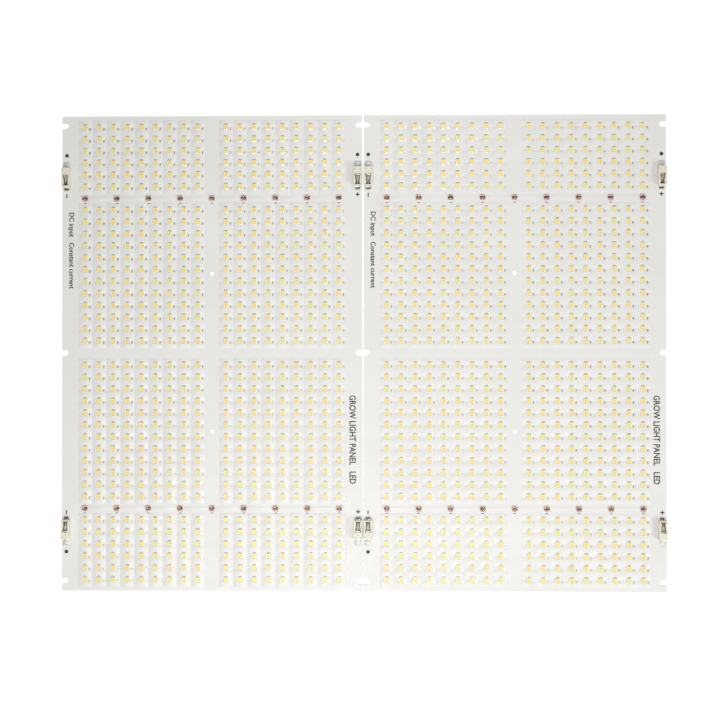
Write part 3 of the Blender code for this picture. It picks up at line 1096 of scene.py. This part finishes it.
def solder_mound(bm, start, end, spread, material):
    """Solder that has run round a tab: thin at its skirt and domed over the tab."""
    centre, reach = Vector((0, (start + end) / 2, 0)), abs(end - start) / 2
    rings = []
    for share, height in MOUND_PROFILE:
        shrink = spread * (1 - share) * MOUND_END_SHRINK
        outline = ring(
            STRIP_WIDTH / 2 + spread * share, reach - shrink, MOUND_CORNER_POWER, height * MM
        )
        rings.append([point + centre for point in outline])
    loft(bm, rings, material)


def contact_mesh():
    """The strip with its solder tabs, the arch over the wire, and the solder round the tabs. The inner
    tab next to the housing is coloured near-black, a painted dark reflection of its tin. Slots: strip,
    dull solder, solder with a painted dark reflection."""
    bm = bmesh.new()
    plate(bm, TAB_INNER_END, DARK_REFLECTION_END, 1)
    # The inner tab beside the housing: coloured near-black as a painted dark reflection
    plate(bm, DARK_REFLECTION_END, BARE_STRIP_START, 2)
    plate(bm, BARE_STRIP_START, BARE_STRIP_END, 0)
    plate(bm, BARE_STRIP_END, TAB_ENTRY_END, 1)
    arch(bm)
    solder_mound(bm, BARE_STRIP_END, TAB_ENTRY_END + ENTRY_MOUND_OVERRUN, ENTRY_MOUND_SPREAD, 1)
    # Its solder carries the same painted dark reflection
    solder_mound(bm, BARE_STRIP_START, DARK_REFLECTION_END, DARK_REFLECTION_MOUND_SPREAD, 2)
    solder_mound(bm, DARK_REFLECTION_END, TAB_INNER_END - INNER_MOUND_OVERRUN, INNER_MOUND_SPREAD, 1)
    return to_mesh(bm, "contact", WIDE_SHARP_ANGLE)


def smooth_path(points, steps):
    """A Catmull-Rom curve through points in a plane."""
    path = []
    padded = [2 * points[0] - points[1], *points, 2 * points[-1] - points[-2]]
    for a, b, c, d in zip(padded, padded[1:], padded[2:], padded[3:]):
        for step in range(steps):
            t = step / steps
            path.append(0.5 * (
                2 * b + (c - a) * t + (2 * a - 5 * b + 4 * c - d) * t ** 2
                + (3 * b - a - 3 * c + d) * t ** 3
            ))
    return [*path, points[-1]]


def tongue_mesh(side):
    """One spring leaf: a curved strip with softened edges, flared out at its tip. Slots:
    plated face, sheared edge."""
    path = smooth_path([TONGUE_ROOT, TONGUE_WAIST, TONGUE_TIP], TONGUE_STEPS)
    bm = bmesh.new()
    half_sheet, soft = TONGUE_HALF_SHEET, TONGUE_SOFT_EDGE
    rings = []
    for index, point in enumerate(path):
        before = path[max(0, index - 1)]
        after = path[min(len(path) - 1, index + 1)]
        along = (after - before).normalized()
        across = Vector((-along.y, along.x))
        taper = TONGUE_TAPER * index / (len(path) - 1)
        low, high = TONGUE_LOW + taper * TONGUE_LOW_SHARE, TONGUE_HIGH - taper
        section = (
            (-half_sheet, low + soft), (-half_sheet + soft, low), (half_sheet - soft, low),
            (half_sheet, low + soft), (half_sheet, high - soft), (half_sheet - soft, high),
            (-half_sheet + soft, high), (-half_sheet, high - soft),
        )
        rings.append([
            Vector((side * (point.x + across.x * out), point.y + across.y * out, z))
            for out, z in section
        ])
    loft(bm, rings)
    for face in bm.faces:
        face.normal_update()
        face.material_index = int(abs(face.normal.z) > 0.5)
    return to_mesh(bm, f"tongue_{'a' if side < 0 else 'b'}", WIDE_SHARP_ANGLE)


def add_terminals(materials):
    housing, contact = housing_mesh(), contact_mesh()
    tongues = {"a": tongue_mesh(-1), "b": tongue_mesh(1)}
    for board in BOARDS:
        for name, place in terminals(board):
            body = f"{board}_board"
            show(
                f"{name}_moulding", housing, [materials["housing"]], body,
                [f"{name}_housing"], place,
            )
            show(
                f"{name}_strip", contact,
                [materials["strip"], materials["dull_solder"], materials["solder_painted_dark_reflection"]],
                body, [f"{name}_contact"], place,
            )
            for letter, tongue in tongues.items():
                show(
                    f"{name}_leaf_{letter}", tongue, [materials["spring"], materials["sheared"]],
                    f"{name}_clamp_{letter}", [f"{name}_clamp_{letter}"], place,
                )


# Stage


def add_floor():
    bm = bmesh.new()
    corners = [(-1, -1), (1, -1), (1, 1), (-1, 1)]
    bm.faces.new([bm.verts.new((x * FLOOR_HALF, y * FLOOR_HALF, -FLOOR_DROP)) for x, y in corners])
    mesh = bpy.data.meshes.new("floor")
    bm.to_mesh(mesh)
    bm.free()
    mesh.materials.append(make_floor_material())
    floor = bpy.data.objects.new("floor", mesh)
    bpy.context.scene.collection.objects.link(floor)


def add_softbox(name, place, size, power):
    light = bpy.data.lights.new(name, "AREA")
    light.shape = "SQUARE"
    light.size = size
    light.energy = power
    lamp = bpy.data.objects.new(name, light)
    bpy.context.scene.collection.objects.link(lamp)
    lamp.location = place
    lamp.rotation_euler = (-Vector(place)).to_track_quat("-Z", "Y").to_euler()
    lamp.visible_camera = False


def add_light():
    world = bpy.data.worlds.new("studio")
    bpy.context.scene.world = world
    world.use_nodes = True
    background = world.node_tree.nodes["Background"]
    background.inputs["Color"].default_value = (1.0, 1.0, 1.0, 1.0)
    background.inputs["Strength"].default_value = WORLD_STRENGTH
    for softbox in SOFTBOXES:
        add_softbox(*softbox)


def add_camera():
    camera = bpy.data.cameras.new("camera")
    camera.sensor_width = SENSOR_WIDTH
    camera.lens = SENSOR_WIDTH * CAMERA_DISTANCE / VIEW_WIDTH
    camera.clip_start, camera.clip_end = CLIP_DISTANCES
    obj = bpy.data.objects.new("camera", camera)
    bpy.context.scene.collection.objects.link(obj)
    obj.rotation_euler = [math.radians(angle) for angle in CAMERA_TURN]
    backwards = obj.rotation_euler.to_matrix() @ Vector((0, 0, 1))
    obj.location = CAMERA_TARGET + backwards * CAMERA_DISTANCE
    bpy.context.scene.camera = obj


def dress_boards(frame, materials):
    """Gives the carried-over cores and circuit layers their materials."""
    for board in BOARDS:
        for node, material in (("core", materials["aluminium"]), ("circuit", materials["mask"])):
            obj = frame["nodes"][f"{board}_{node}"]
            for slot in obj.material_slots:
                slot.material = material


random.seed(20)
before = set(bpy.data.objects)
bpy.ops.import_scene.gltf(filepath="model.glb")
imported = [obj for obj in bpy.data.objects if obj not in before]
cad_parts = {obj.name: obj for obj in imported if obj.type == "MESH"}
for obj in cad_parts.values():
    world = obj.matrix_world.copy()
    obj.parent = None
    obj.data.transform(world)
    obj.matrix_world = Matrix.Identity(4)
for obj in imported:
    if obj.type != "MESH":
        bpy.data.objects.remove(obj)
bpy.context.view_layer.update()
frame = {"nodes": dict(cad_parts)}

materials = {
    "aluminium": make_aluminium(),
    "mask": make_solder_mask(),
    "ink": make_ink(),
    "plastic": make_led_plastic(),
    "phosphor": make_phosphor(),
    "solder": make_solder("solder", (0.66, 0.65, 0.63), (0.86, 0.85, 0.82), 0.18, 0.42),
    "dull_solder": make_solder("dull_solder", (0.64, 0.64, 0.62), (0.80, 0.80, 0.77), 0.55, 0.75),
    # Pale pink ceramic: a painted red-tinted highlight on the red LEDs
    "ceramic": make_ceramic(),
    "lens": make_lens(),
    "die": make_red_die(),
    "housing": make_housing_plastic(),
    "red_frame": make_strip("red_frame", (0.19, 0.10, 0.08), (0.30, 0.16, 0.12), (0.10, 0.05, 0.04)),
    "pad": make_strip("tinned_pad", (0.44, 0.44, 0.43), (0.58, 0.58, 0.56), (0.38, 0.35, 0.29)),
    "strip": make_strip("tinned_strip", (0.66, 0.64, 0.59), (0.84, 0.82, 0.77), (0.46, 0.41, 0.32)),
    "spring": make_strip("tinned_spring", (0.62, 0.59, 0.53), (0.82, 0.79, 0.73), (0.44, 0.38, 0.29)),
    "sheared": make_strip("sheared_edge", (0.12, 0.09, 0.05), (0.22, 0.17, 0.10), (0.08, 0.06, 0.03)),
    # Near-black tin for the inner tab: a painted dark reflection
    "solder_painted_dark_reflection": make_strip(
        "solder_painted_dark_reflection", (0.13, 0.105, 0.09), (0.24, 0.20, 0.17), (0.09, 0.07, 0.06)
    ),
}
dress_boards(frame, materials)
for board in BOARDS:
    add_copper(board, materials)
    add_print(board, materials)
    add_test_pads(board, materials)
    add_whites(board, materials)
    add_reds(board, materials)
add_terminals(materials)
add_floor()
add_light()
add_camera()
bpy.context.scene.view_settings.view_transform = "Standard"
